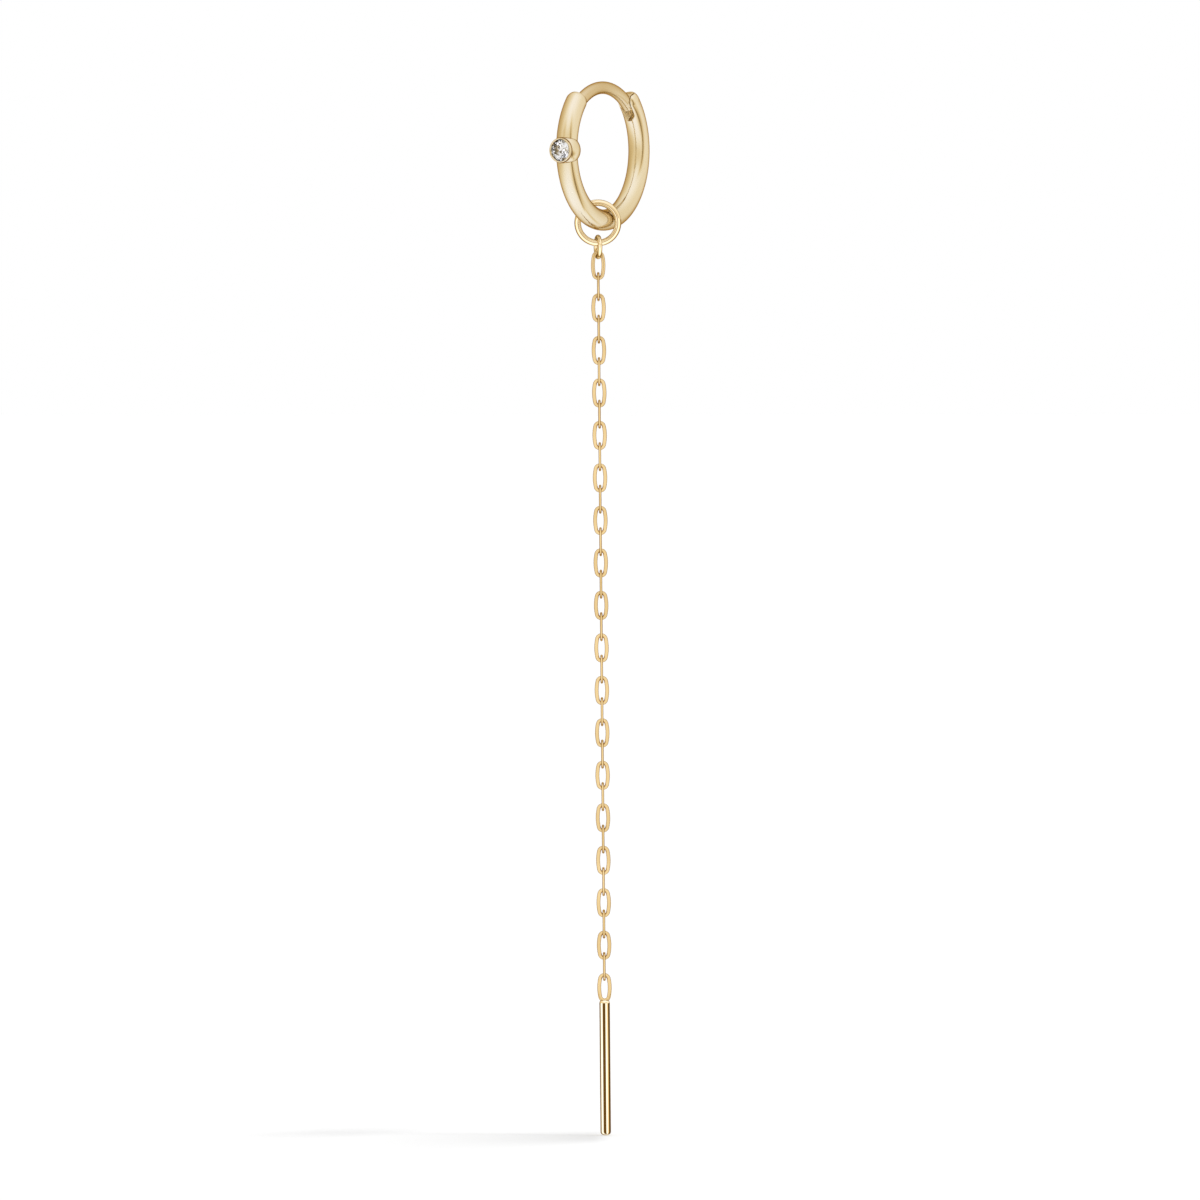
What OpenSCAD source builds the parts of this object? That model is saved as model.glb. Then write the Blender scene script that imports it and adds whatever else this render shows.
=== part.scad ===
// Chain drop hoop earring, in millimetres.
// The origin is where the ear wire sits in the piercing, at the top of its centre-line.
// +Z is up and -Y is forward, where the stone faces. The hoop lies in the YZ plane.

/* [Hoop] */
// Radius of the hoop's centre-line
hoop_r = 4.85; // [4.6:0.05:5.2]
// Radius of the hoop's round tube
tube_r = 0.735; // [0.7:0.005:0.78]
// Angle from the front, over the top, of the flat face at the catch
catch_face_angle = 47.2; // [46:0.1:48]
// Angle from the front, over the top, of the flat face at the hinge
hinge_face_angle = 130.3; // [130:0.1:131]
// How far the hinge face leans back, so that the wire can swing out
hinge_face_tilt = 25.5; // [24:0.5:27]
// Angle from the front where the catch end starts to round over
catch_round_angle = 43; // [42.5:0.1:43.5]
// Angle from the front where the hinge end starts to round over
hinge_round_angle = 137; // [136.5:0.1:137.5]

/* [Bezel and stone] */
// Distance of the setting's ball from the hoop's centre
ball_offset = 5.0; // [4.95:0.01:5.05]
// Radius of the setting's ball
ball_r = 1.035; // [1:0.005:1.06]
// Outer radius of the bezel cup
cup_r = 0.85; // [0.84:0.005:0.87]
// Distance of the cup's rim from the hoop's centre
rim_offset = 5.8; // [5.75:0.01:5.85]
// Diameter of the stone at its girdle
stone_d = 1.48; // [1.45:0.01:1.5]

/* [Ear wire] */
// Radius of the round ear wire
wire_r = 0.4325; // [0.42:0.0025:0.435]
// Radius of the ear wire's arc
wire_arc_r = 5.295; // [5.28:0.005:5.31]
// Height of the hoop's centre over the centre of the wire's arc
arc_drop = 1.015; // [1:0.005:1.03]
// Angle of the wire's tip on its own arc, from the front
tip_angle = 53.2; // [53:0.1:53.5]
// Angle of the wire's squared tail on its own arc
tail_angle = 131.3; // [131:0.1:132]

/* [Hinge and catch] */
// Distance of the hinge pin from the hoop's centre
pin_offset = 4.76; // [4.74:0.01:4.78]
// Angle of the hinge pin from the front, over the top
pin_angle = 135; // [134.8:0.1:135.2]
// Radius of the hinge pin
pin_r = 0.2; // [0.18:0.01:0.21]
// Radius of the knuckle round the pin
knuckle_r = 0.55; // [0.53:0.01:0.56]
// Width of the slots at the hinge and at the catch
slot_w = 0.9; // [0.89:0.005:0.91]
// Angle where the hinge slot's rounded end has its centre
slot_end_angle = 144.5; // [144:0.1:145]

/* [Rings] */
// Outer diameter of the jump ring
jump_d = 3.23; // [3.2:0.01:3.26]
// Wire diameter of the jump ring
jump_wire_d = 0.455; // [0.44:0.005:0.46]
// Depth of the jump ring's centre below the hoop's centre
jump_drop = 5.037; // [5.02:0.001:5.05]
// Outer diameter of the connector ring
connector_d = 1.7; // [1.68:0.01:1.72]
// Wire diameter of the connector ring
connector_wire_d = 0.3; // [0.28:0.01:0.31]
// How far the connector ring is turned from edge-on
connector_turn = 12; // [10:1:20]

/* [Chain] */
// Number of links between the connector ring and the drop
n_links = 34; // [30:2:38]
// Outer length of a link
link_l = 2.01; // [2:0.01:2.02]
// Outer width of a link
link_w = 0.99; // [0.97:0.01:1.01]
// Radius of the wire's centre-line round a link's ends
link_end_r = 0.3; // [0.29:0.005:0.31]
// Width of the flattened link wire, seen on the link's face
link_wire_w = 0.262; // [0.25:0.002:0.27]
// Thickness of the flattened link wire
link_wire_t = 0.18; // [0.17:0.005:0.2]

/* [Drop bar] */
// Diameter of the bar
bar_d = 0.725; // [0.7:0.005:0.75]
// Length of the bar
bar_l = 9.33; // [9:0.01:10]
// Radius of the bar's rounded edges
bar_edge_r = 0.22; // [0.15:0.01:0.25]

/* [Hidden] */
$fn = 64;

// Turn of the hanging pieces about the vertical, and where their line hangs in that turned frame
hang_turn = 30.9;
hang_right = -0.4;
hang_back = -0.34;

// Small gaps: at a part that moves, and between pieces that only lie together
running_gap = 0.03;
bore_gap = 0.02;
seat_gap = 0.01;
link_gap = 0.02;

hoop_z = arc_drop - wire_arc_r;
knuckle_w = 2 * wire_r - 0.02;
skin_over_pin = 0.2;
pin_l = 2 * (tube_r - skin_over_pin);

// The hinge slot's flat floor, as a distance from the hoop's centre, and the middle of its length
slot_floor = 5.045;
slot_mid_angle = 139;
slot_start = 3.4;

// Stone: its table lies level with the cup's rim
girdle_r = stone_d / 2;
crown_h = 0.15 * stone_d;
girdle_h = 0.03 * stone_d;
pavilion_h = 0.43 * stone_d;
girdle_offset = rim_offset - crown_h - girdle_h;

// An oval link is four arcs: its half length and width on the wire's centre-line, then the sides
link_half_l = (link_l - link_wire_w) / 2;
link_half_w = (link_w - link_wire_w) / 2;
link_side_r = (pow(link_half_w, 2) + pow(link_half_l - link_end_r, 2) - pow(link_end_r, 2))
    / (2 * (link_half_w - link_end_r));
link_side_turn = asin((link_half_l - link_end_r) / (link_side_r - link_end_r));
link_pitch = link_l - 2 * link_wire_w - link_gap;
jump_wire_r = jump_wire_d / 2;
jump_ring_r = jump_d / 2 - jump_wire_r;
connector_gap = 0.05;
connector_z = hoop_z - jump_drop - jump_ring_r + jump_wire_r + connector_gap
    + connector_wire_d - connector_d / 2;
first_link_z = connector_z - connector_d / 2 + connector_wire_d + link_gap
    + link_wire_w - link_l / 2;
end_link_z = first_link_z - n_links * link_pitch;
solder_depth = 0.17;
bar_top = end_link_z - link_l / 2 + solder_depth;

function link_name(i) = str("chain_link_", i < 10 ? "0" : "", i);

gold = [0.89, 0.78, 0.53];
chain_gold = [0.88, 0.73, 0.47];
clear_stone = [0.93, 0.94, 0.95];

// The hoop's own plane: x forward, y up, z towards -X, about the hoop's centre
module in_hoop_plane() {
    translate([0, 0, hoop_z]) rotate([0, -90, 0]) rotate([0, 0, -90]) children();
}

// The hanging line's frame: x to the side, y back, z up
module on_hanging_line() {
    rotate([0, 0, hang_turn]) translate([hang_right, hang_back, 0]) children();
}

// A round bar bent to an arc in the xy plane, from one angle to another
module bent_bar(arc_r, bar_r, from_angle, to_angle) {
    rotate([0, 0, from_angle])
        rotate_extrude(angle = to_angle - from_angle) translate([arc_r, 0]) circle(r = bar_r);
}

// Hoop body: the tube, the bezel, the ears of the hinge and the catch

// Ball that rounds an end of the tube over, a hair inside it
module end_ball(angle) {
    rotate([0, 0, angle]) translate([hoop_r, 0, 0]) sphere(r = tube_r - 0.004);
}

// Blocks that cut the flat faces of the tube's two ends. The hinge's leans back from the radius
module hinge_face_cut() {
    block = 3;
    rotate([0, 0, hinge_face_angle]) translate([hoop_r, 0, 0]) rotate([0, 0, hinge_face_tilt])
        translate([-block / 2, -block, -block / 2]) cube(block);
}

module catch_face_cut() {
    block = 3;
    rotate([0, 0, catch_face_angle]) translate([hoop_r - block / 2, 0, -block / 2]) cube(block);
}

// Slot between the ears: open on the hoop's inner side, with a rounded lower end
module hinge_slot() {
    end_y = hoop_r * tan(slot_end_angle - slot_mid_angle);
    slot_l = 3;
    rotate([0, 0, slot_mid_angle]) {
        translate([slot_start, end_y - slot_l, -slot_w / 2])
            cube([slot_floor - slot_start, slot_l, slot_w]);
        translate([slot_start, end_y, 0]) rotate([0, 90, 0])
            cylinder(h = slot_floor - slot_start, d = slot_w);
    }
}

// Round pocket that the knuckle turns in
module knuckle_pocket() {
    rotate([0, 0, pin_angle]) translate([pin_offset, 0, 0])
        cylinder(h = slot_w, r = knuckle_r + running_gap, center = true);
}

module pin_holes() {
    rotate([0, 0, pin_angle]) translate([pin_offset, 0, 0])
        cylinder(h = pin_l + 2 * seat_gap, r = pin_r + seat_gap, center = true);
}

// Slot that the wire's tip drops into from above: round at the front, open on the inner side
module catch_slot() {
    pocket_r = wire_r + running_gap;
    tip_x = wire_arc_r * cos(tip_angle);
    tip_y = wire_arc_r * sin(tip_angle) - arc_drop;
    floor_y = tip_y - wire_r - running_gap;
    depth = 3;
    translate([tip_x, floor_y, 0]) {
        rotate([-90, 0, 0]) cylinder(h = depth, r = pocket_r);
        translate([-depth, 0, -pocket_r]) cube([depth, depth, 2 * pocket_r]);
    }
}

// Bezel: a ball on the tube with a short cup whose lip is rounded over
module bezel_outside() {
    cup_h = 0.5;
    lip = 0.05;
    rotate([0, 90, 0]) {
        translate([0, 0, ball_offset]) sphere(r = ball_r);
        translate([0, 0, rim_offset - cup_h]) rotate_extrude() polygon([
            [0, 0],
            [cup_r, 0],
            [cup_r, cup_h - lip],
            [cup_r - 0.3 * lip, cup_h - 0.3 * lip],
            [cup_r - lip, cup_h],
            [0, cup_h]
        ]);
    }
}

// Seat for the stone: straight past the girdle, then a cone below it, eased at the mouth
module stone_seat() {
    seat_r = girdle_r + seat_gap;
    seat_top = rim_offset - girdle_offset;
    ease = 0.03;
    floor_r = 0.1;
    floor_h = -pavilion_h - 2 * seat_gap;
    translate([girdle_offset, 0, 0]) rotate([0, 90, 0]) rotate_extrude() polygon([
        [0, floor_h],
        [floor_r, floor_h],
        [seat_r, -2 * seat_gap],
        [seat_r, seat_top - ease],
        [seat_r + ease, seat_top],
        [seat_r + ease, seat_top + 1],
        [0, seat_top + 1]
    ]);
}

module hoop_body() {
    color(gold) in_hoop_plane() difference() {
        union() {
            bent_bar(hoop_r, tube_r, hinge_round_angle, 360 + catch_round_angle);
            end_ball(hinge_round_angle);
            end_ball(catch_round_angle);
            bezel_outside();
        }
        hinge_face_cut();
        catch_face_cut();
        hinge_slot();
        knuckle_pocket();
        pin_holes();
        catch_slot();
        stone_seat();
    }
}

// Stone: a round brilliant, its table forward

function ring_points(n, r, h, turn = 0) =
    [for (i = [0:n - 1]) [r * cos(360 * i / n + turn), r * sin(360 * i / n + turn), h]];

module stone() {
    half_step = 22.5;
    table = 0.56;
    star = 0.77;
    lower = 0.24;
    star_h = crown_h * (1 - star * cos(half_step)) / (1 - table);
    lower_h = pavilion_h * (1 - lower * cos(half_step));
    points = concat(
        ring_points(8, table * girdle_r, girdle_h + crown_h),
        ring_points(8, star * girdle_r, girdle_h + star_h, half_step),
        ring_points(16, girdle_r, girdle_h),
        ring_points(16, girdle_r, 0),
        ring_points(8, lower * girdle_r, -lower_h, half_step),
        [[0, 0, -pavilion_h]]
    );
    color(clear_stone) in_hoop_plane() translate([girdle_offset, 0, 0]) rotate([0, 90, 0])
        hull() polyhedron(points, [[for (i = [0:len(points) - 1]) i]]);
}

// Hinge pin, its ends under the polished ears
module hinge_pin() {
    color(gold) in_hoop_plane() rotate([0, 0, pin_angle]) translate([pin_offset, 0, 0])
        cylinder(h = pin_l, r = pin_r, center = true);
}

// Ear wire with its knuckle, its squared tail and its rounded tip
module ear_arm() {
    tip_r = wire_r - 0.004;
    color(gold) in_hoop_plane() difference() {
        union() {
            translate([0, -arc_drop, 0]) {
                bent_bar(wire_arc_r, wire_r, tip_angle, tail_angle);
                rotate([0, 0, tip_angle]) translate([wire_arc_r, 0, 0]) sphere(r = tip_r);
            }
            rotate([0, 0, pin_angle]) translate([pin_offset, 0, 0])
                cylinder(h = knuckle_w, r = knuckle_r, center = true);
        }
        rotate([0, 0, pin_angle]) translate([pin_offset, 0, 0])
            cylinder(h = 2, r = pin_r + bore_gap, center = true);
    }
}

// Jump ring over the hoop's lowest point
module jump_ring() {
    color(gold) on_hanging_line() translate([0, 0, hoop_z - jump_drop]) rotate([90, 0, 0])
        rotate_extrude() translate([jump_ring_r, 0]) circle(r = jump_wire_r);
}

// Connector ring between the jump ring and the chain, nearly edge-on
module connector_ring() {
    color(chain_gold) on_hanging_line() translate([0, 0, connector_z])
        rotate([0, 0, 90 + connector_turn]) rotate([90, 0, 0])
            rotate_extrude() translate([(connector_d - connector_wire_d) / 2, 0])
                circle(d = connector_wire_d);
}

// Oval link of flattened wire, standing in the xz plane about its own centre. The sides are a
// hair slimmer and reach a little into the ends
module oval_link() {
    side_ease = 0.004;
    side_reach = 0.6;
    rotate([90, 0, 0]) for (turn = [0, 180]) rotate([0, 0, turn]) {
        translate([0, link_half_l - link_end_r, 0]) rotate([0, 0, link_side_turn])
            rotate_extrude(angle = 180 - 2 * link_side_turn) translate([link_end_r, 0])
                wire_section(0);
        translate([link_half_w - link_side_r, 0, 0]) rotate([0, 0, -link_side_turn - side_reach])
            rotate_extrude(angle = 2 * (link_side_turn + side_reach))
                translate([link_side_r, 0]) wire_section(side_ease);
    }
}

module wire_section(ease) {
    scale([link_wire_w - ease, link_wire_t - ease]) circle(d = 1);
}

// Links are numbered from the top: odd ones face forward, even ones stand edge-on
module chain_link(i) {
    color(chain_gold) on_hanging_line() translate([0, 0, first_link_z - (i - 1) * link_pitch])
        rotate([0, 0, i % 2 == 1 ? 0 : 90]) oval_link();
}

// Drop: a round bar with the end link soldered into its top
module drop_bar() {
    steps = 5;
    bar_r = bar_d / 2;
    edge = [for (i = [0:steps]) [
        bar_r - bar_edge_r * (1 - cos(90 * i / steps)),
        bar_l / 2 - bar_edge_r * (1 - sin(90 * i / steps))
    ]];
    outline = concat(
        [[0, -bar_l / 2], [0, bar_l / 2]],
        [for (i = [steps:-1:0]) edge[i]],
        [for (i = [0:steps]) [edge[i][0], -edge[i][1]]]
    );
    color(gold) on_hanging_line() {
        translate([0, 0, end_link_z]) oval_link();
        translate([0, 0, bar_top - bar_l / 2]) rotate_extrude() polygon(outline);
    }
}

hoop_body();
stone();
hinge_pin();
ear_arm();
jump_ring();
connector_ring();
for (i = [1:n_links]) chain_link(i);
drop_bar();
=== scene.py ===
"""Looks of the chain drop hoop earring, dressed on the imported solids.

Sizes in the classes are millimetres in the row frame: +Z is up, -Y is forward, where the stone
faces, and the origin is the top of the ear wire. MM turns them into metres.
"""

import logging
import math
from collections.abc import Sequence
from dataclasses import astuple, dataclass
from enum import Enum
from functools import cache, reduce

import bmesh
import bpy
import numpy as np
from mathutils import Matrix


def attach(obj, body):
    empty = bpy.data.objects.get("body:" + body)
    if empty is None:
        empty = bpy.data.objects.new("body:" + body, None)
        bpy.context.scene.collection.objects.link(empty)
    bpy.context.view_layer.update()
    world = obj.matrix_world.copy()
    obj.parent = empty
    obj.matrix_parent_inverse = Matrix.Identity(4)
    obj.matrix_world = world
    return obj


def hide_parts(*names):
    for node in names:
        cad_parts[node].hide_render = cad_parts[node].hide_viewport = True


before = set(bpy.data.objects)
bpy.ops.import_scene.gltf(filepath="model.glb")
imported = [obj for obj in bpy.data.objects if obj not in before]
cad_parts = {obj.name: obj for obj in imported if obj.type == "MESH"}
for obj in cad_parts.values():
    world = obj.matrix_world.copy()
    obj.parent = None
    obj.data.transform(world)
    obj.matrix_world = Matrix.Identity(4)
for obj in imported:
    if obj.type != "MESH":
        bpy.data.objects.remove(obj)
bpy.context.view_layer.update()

LOG = logging.getLogger("earring")
MM = 0.001
TINY = 1e-9
HOOP_Z = -4.28
LINE_PLACE = (-0.4, -0.34)
VIEW_TURN = math.radians(30.9)
TO_RIGHT = (math.cos(VIEW_TURN), math.sin(VIEW_TURN), 0.0)
TO_VIEWER = (math.sin(VIEW_TURN), -math.cos(VIEW_TURN), 0.0)

Array = np.ndarray
Faces = Sequence[Sequence[int]]
Feeds = dict[str | int, object]
Layer = bmesh.types.BMLayerItem
Material = bpy.types.Material
Mesh = bpy.types.Mesh
Node = bpy.types.Node
Object = bpy.types.Object
Skin = bmesh.types.BMesh
Socket = bpy.types.NodeSocket
Tree = bpy.types.ShaderNodeTree
Triple = tuple[float, float, float]
Stops = Sequence[tuple[float, Triple]]


class Body(Enum):
    """The rigid bodies that the pieces ride on."""

    HOOP = "hoop"
    EAR_WIRE = "ear_wire"
    DROP = "drop"


class Slot(Enum):
    """The record's material slots."""

    GOLD = "gold"
    CHAIN_GOLD = "chain_gold"
    STONE = "stone"


class Mixed(Enum):
    """What a Mix node mixes: its type, and the numbers of its two inputs and its output."""

    NUMBER = ("FLOAT", 2, 3, 0)
    COLOUR = ("RGBA", 6, 7, 2)


class Ray(Enum):
    """The kinds of ray that a studio aid can be kept from."""

    CAMERA = "visible_camera"
    DIFFUSE = "visible_diffuse"
    GLOSSY = "visible_glossy"
    SHADOW = "visible_shadow"
    TRANSMISSION = "visible_transmission"
    VOLUME = "visible_volume_scatter"


def units(v: Array) -> Array:
    """Returns each row scaled to length one."""
    return v / np.maximum(np.linalg.norm(v, axis=-1, keepdims=True), TINY)


def turned(p: Array, angle: float) -> Array:
    """Returns rows of x, y, z turned about the vertical by an angle in radians."""
    c, s = math.cos(angle), math.sin(angle)
    return np.column_stack((c * p[:, 0] - s * p[:, 1], s * p[:, 0] + c * p[:, 1], p[:, 2]))


def round_steps(count: int, turn: float = 0.0) -> list[tuple[float, float]]:
    """Returns the cosine and sine of even steps round a circle, from a turn in radians."""
    angles = [2 * math.pi * i / count + turn for i in range(count)]
    return [(math.cos(a), math.sin(a)) for a in angles]


def on_circle(centre_z: float, radius: float, angle: float) -> Triple:
    """Returns a place on a circle in the hoop's plane, its angle counted up from the front."""
    return (0.0, -radius * math.cos(angle), centre_z + radius * math.sin(angle))


# Node building


@dataclass
class Graph:
    """A thin hand on one node tree, so that a material reads as a short list of steps."""

    tree: bpy.types.NodeTree

    def add(self, kind: str, feeds: Feeds | None = None, **settings: object) -> Node:
        """Adds one node.

        Args:
            kind: Blender's name of the node type.
            feeds: what goes into its inputs, by their names or numbers.
            **settings: properties of the node to set.

        Returns:
            The new node.
        """
        node = self.tree.nodes.new(kind)
        for key, value in settings.items():
            setattr(node, key, value)
        self.fill(node, feeds or {})
        return node

    def fill(self, node: Node, feeds: Feeds) -> None:
        """Puts plain values and other nodes' outputs into a node's inputs.

        Args:
            node: the node.
            feeds: an output, a number or a tuple of numbers for each input's name or number.
        """
        for key, value in feeds.items():
            if isinstance(value, bpy.types.NodeSocket):
                self.tree.links.new(value, node.inputs[key])
            else:
                node.inputs[key].default_value = value

    def math(self, operation: str, *values: object) -> Socket:
        """Returns the output of a Math node that works on the values."""
        return self.add("ShaderNodeMath", dict(enumerate(values)), operation=operation).outputs[0]

    def vector(self, operation: str, *values: object) -> Node:
        """Returns a Vector Math node that works on the values."""
        return self.add("ShaderNodeVectorMath", dict(enumerate(values)), operation=operation)

    def product(self, *values: object) -> Socket:
        """Returns the product of the values."""
        return reduce(lambda a, b: self.math("MULTIPLY", a, b), values)

    def squares(self, a: Socket, b: Socket) -> Socket:
        """Returns the sum of two squares."""
        return self.math("ADD", self.product(a, a), self.product(b, b))

    def rest(self, share: Socket) -> Socket:
        """Returns what a share leaves of one."""
        return self.math("SUBTRACT", 1.0, share)

    def reach(self, place: Socket, direction: Sequence[float]) -> Socket:
        """Returns how far a place lies in a direction."""
        return self.vector("DOT_PRODUCT", place, direction).outputs["Value"]

    def azimuth(self, place: Socket) -> Socket:
        """Returns a place's azimuth in degrees, counted from the photograph's side."""
        turn = self.math("ARCTAN2", self.reach(place, TO_RIGHT), self.reach(place, TO_VIEWER))
        return self.math("DEGREES", turn)

    def step(self, *limits: object) -> Socket:
        """Returns a smooth 0 to 1 step of a value, given first, between two limits."""
        feeds = dict(enumerate(limits))
        return self.add("ShaderNodeMapRange", feeds, interpolation_type="SMOOTHSTEP").outputs[0]

    def noise(self, place: Socket, scale: object, detail: float = 2.0) -> Socket:
        """Returns a Noise texture's value."""
        feeds = {"Vector": place, "Scale": scale, "Detail": detail}
        return self.add("ShaderNodeTexNoise", feeds).outputs["Fac"]

    def mix(self, share: Socket, a: object, b: object, mixed: Mixed = Mixed.NUMBER) -> Socket:
        """Returns a mix of two numbers or colours, where share is how much of b shows."""
        kind, one, two, out = mixed.value
        return self.add("ShaderNodeMix", {0: share, one: a, two: b}, data_type=kind).outputs[out]

    def ramp(self, value: Socket, stops: Stops) -> Socket:
        """Runs a value through a colour ramp.

        Args:
            value: the output to look up.
            stops: pairs of position and linear colour.

        Returns:
            The ramp's colour output.
        """
        node = self.add("ShaderNodeValToRGB", {"Fac": value})
        elements = node.color_ramp.elements
        while len(elements) < len(stops):
            elements.new(0.5)
        for element, (position, colour) in zip(elements, stops, strict=True):
            element.position = position
            element.color = (*colour, 1.0)
        return node.outputs["Color"]

    def end(self, shader: Node, kind: str = "ShaderNodeOutputMaterial") -> None:
        """Feeds a shader into the tree's own output."""
        self.add(kind, {"Surface": shader.outputs[0]})

    def end_clear(self, share: Socket, shader: Node) -> None:
        """Ends a material that is clear but for a share of a shader."""
        clear = self.add("ShaderNodeBsdfTransparent").outputs[0]
        self.end(self.add("ShaderNodeMixShader", {0: share, 1: clear, 2: shader.outputs[0]}))


def bare_graph(owner: Material | bpy.types.World) -> Graph:
    """Gives a material or world an empty graph.

    Args:
        owner: the material or world.

    Returns:
        Its graph, with no nodes.
    """
    owner.use_nodes = True
    owner.node_tree.nodes.clear()
    return Graph(owner.node_tree)


def new_material(name: str) -> tuple[Material, Graph, Node]:
    """Starts a material.

    Args:
        name: its name.

    Returns:
        The material, its graph and its Principled BSDF.
    """
    material = bpy.data.materials.new(name)
    material.use_nodes = True
    return material, Graph(material.node_tree), material.node_tree.nodes["Principled BSDF"]


def new_group(name: str, inputs: Feeds, outputs: Sequence[str]) -> tuple[Tree, Node, Node]:
    """Starts a shader node group with named sockets.

    Args:
        name: the group's name.
        inputs: each input's name and default, which is a tuple for a vector.
        outputs: the names of its outputs, which are numbers.

    Returns:
        The tree, its input node and its output node.
    """
    tree = bpy.data.node_groups.new(name, "ShaderNodeTree")
    for label, default in inputs.items():
        kind = "NodeSocketVector" if isinstance(default, tuple) else "NodeSocketFloat"
        socket = tree.interface.new_socket(name=label, in_out="INPUT", socket_type=kind)
        socket.default_value = default
    for label in outputs:
        tree.interface.new_socket(name=label, in_out="OUTPUT", socket_type="NodeSocketFloat")
    return tree, tree.nodes.new("NodeGroupInput"), tree.nodes.new("NodeGroupOutput")


@dataclass(frozen=True)
class PolishMarks:
    """Node group of what a polished gold surface carries: hairlines, faint haze and soft tone."""

    hairline_scale: float = 9000.0
    haze_scale: float = 700.0
    tone_share: float = 0.35
    hairline_detail: float = 3.0
    tone_limits: tuple[float, float] = (0.35, 0.65)
    haze_limits: tuple[float, float] = (0.4, 0.7)

    @cache
    def group(self) -> Tree:
        """Builds the group on its first use.

        Returns:
            The node tree with outputs Tone, Haze and Height.
        """
        inputs = {
            "Position": (0.0, 0.0, 0.0),
            "Along": (1.0, 1.0, 1.0),
            "Hairline Scale": self.hairline_scale,
            "Haze Scale": self.haze_scale,
        }
        tree, start, end = new_group("PolishMarks", inputs, ("Tone", "Haze", "Height"))
        g = Graph(tree)
        place, along, hairline_scale, haze_scale = (start.outputs[label] for label in inputs)
        stretched = g.vector("MULTIPLY", place, along).outputs[0]
        haze = g.noise(place, haze_scale)
        tone = g.noise(place, g.product(haze_scale, self.tone_share))
        g.fill(end, {
            "Tone": g.step(tone, *self.tone_limits),
            "Haze": g.step(haze, *self.haze_limits),
            "Height": g.noise(stretched, hairline_scale, self.hairline_detail),
        })
        return tree

    def placed(self, g: Graph, place: Socket, along: Triple = (1.0, 1.0, 1.0)) -> Node:
        """Returns the group's node in a material, with the way that its hairlines are stretched."""
        return g.add("ShaderNodeGroup", {"Position": place, "Along": along}, node_tree=self.group())


MARKS = PolishMarks()


@dataclass(frozen=True)
class PaintedCreaseShade:
    """A thin painted shade line in the crease where the stone's cup leaves its ball."""

    cup_r: float = 0.85
    front: float = 5.59
    width: float = 0.07
    core: float = 0.3
    # colour of the painted crease shade
    colour: Triple = (0.30, 0.17, 0.05)

    def with_painted_shade(self, g: Graph, place: Socket, colour: Socket) -> Socket:
        """Paints the crease's shade line into a colour.

        Args:
            g: the material's graph.
            place: the position on the piece, in metres.
            colour: the gold's own colour.

        Returns:
            The colour with the painted shade line in it.
        """
        offset = g.vector("SUBTRACT", place, (0.0, -self.front * MM, HOOP_Z * MM)).outputs[0]
        across, ahead, up = g.add("ShaderNodeSeparateXYZ", {0: offset}).outputs
        out = g.math("SUBTRACT", g.math("SQRT", g.squares(across, up)), self.cup_r * MM)
        away = g.math("SQRT", g.squares(out, ahead))
        clear = g.step(away, self.core * self.width * MM, self.width * MM)
        return g.mix(clear, (*self.colour, 1.0), colour, Mixed.COLOUR)


@dataclass(frozen=True)
class GoldFinish:
    """Polished gold: its colours, how sharp it mirrors, its marks, its edge colour and, if set, a
    painted shade line in a crease.
    """

    name: str
    colour: Triple
    tone: Triple
    roughness: float
    haze: float
    hairline: float
    edge: Triple = (0.45, 0.28, 0.10)
    metal: float = 1.0
    crease_shade: PaintedCreaseShade | None = None
    along: Triple = (1.0, 1.0, 1.0)
    mark_depth: float = 0.002

    @cache
    def material(self) -> Material:
        """Builds the material on its first use.

        Returns:
            The Blender material.
        """
        material, g, shader = new_material(self.name)
        place = g.add("ShaderNodeTexCoord").outputs["Object"]
        marks = MARKS.placed(g, place, self.along).outputs
        colour = g.mix(marks["Tone"], (*self.colour, 1.0), (*self.tone, 1.0), Mixed.COLOUR)
        # paints a shade line into the crease round the stone's cup
        if self.crease_shade is not None:
            colour = self.crease_shade.with_painted_shade(g, place, colour)
        depth = self.mark_depth * MM
        feeds = {"Strength": self.hairline, "Distance": depth, "Height": marks["Height"]}
        bump = g.add("ShaderNodeBump", feeds)
        g.fill(shader, {
            "Base Color": colour,
            "Roughness": g.mix(marks["Haze"], self.roughness, self.roughness + self.haze),
            "Normal": bump.outputs["Normal"],
            "Metallic": self.metal,
            "Specular Tint": (*self.edge, 1.0),
        })
        return material


@dataclass(frozen=True)
class StoneFinish:
    """Clear cut stone: high refraction, with a faint veil on the facets."""

    name: str
    tint: Triple
    ior: float
    veil: float = 0.985

    def material(self) -> Material:
        """Builds the stone's material.

        Returns:
            The Blender material.
        """
        material, g, shader = new_material(self.name)
        marks = MARKS.placed(g, g.add("ShaderNodeTexCoord").outputs["Object"]).outputs
        veiled = (*(self.veil * c for c in self.tint), 1.0)
        g.fill(shader, {
            "Base Color": g.mix(marks["Tone"], (*self.tint, 1.0), veiled, Mixed.COLOUR),
            "Roughness": 0.0,
            "Metallic": 0.0,
            "Transmission Weight": 1.0,
            "IOR": self.ior,
        })
        return material


# The hoop's gold carries a painted shade line in the crease where the cup meets the ball.
HOOP_GOLD = GoldFinish(
    "hoop_gold", (0.76, 0.69, 0.545), (0.74, 0.67, 0.51), 0.11, 0.03, 0.03, crease_shade=PaintedCreaseShade()
)
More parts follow.
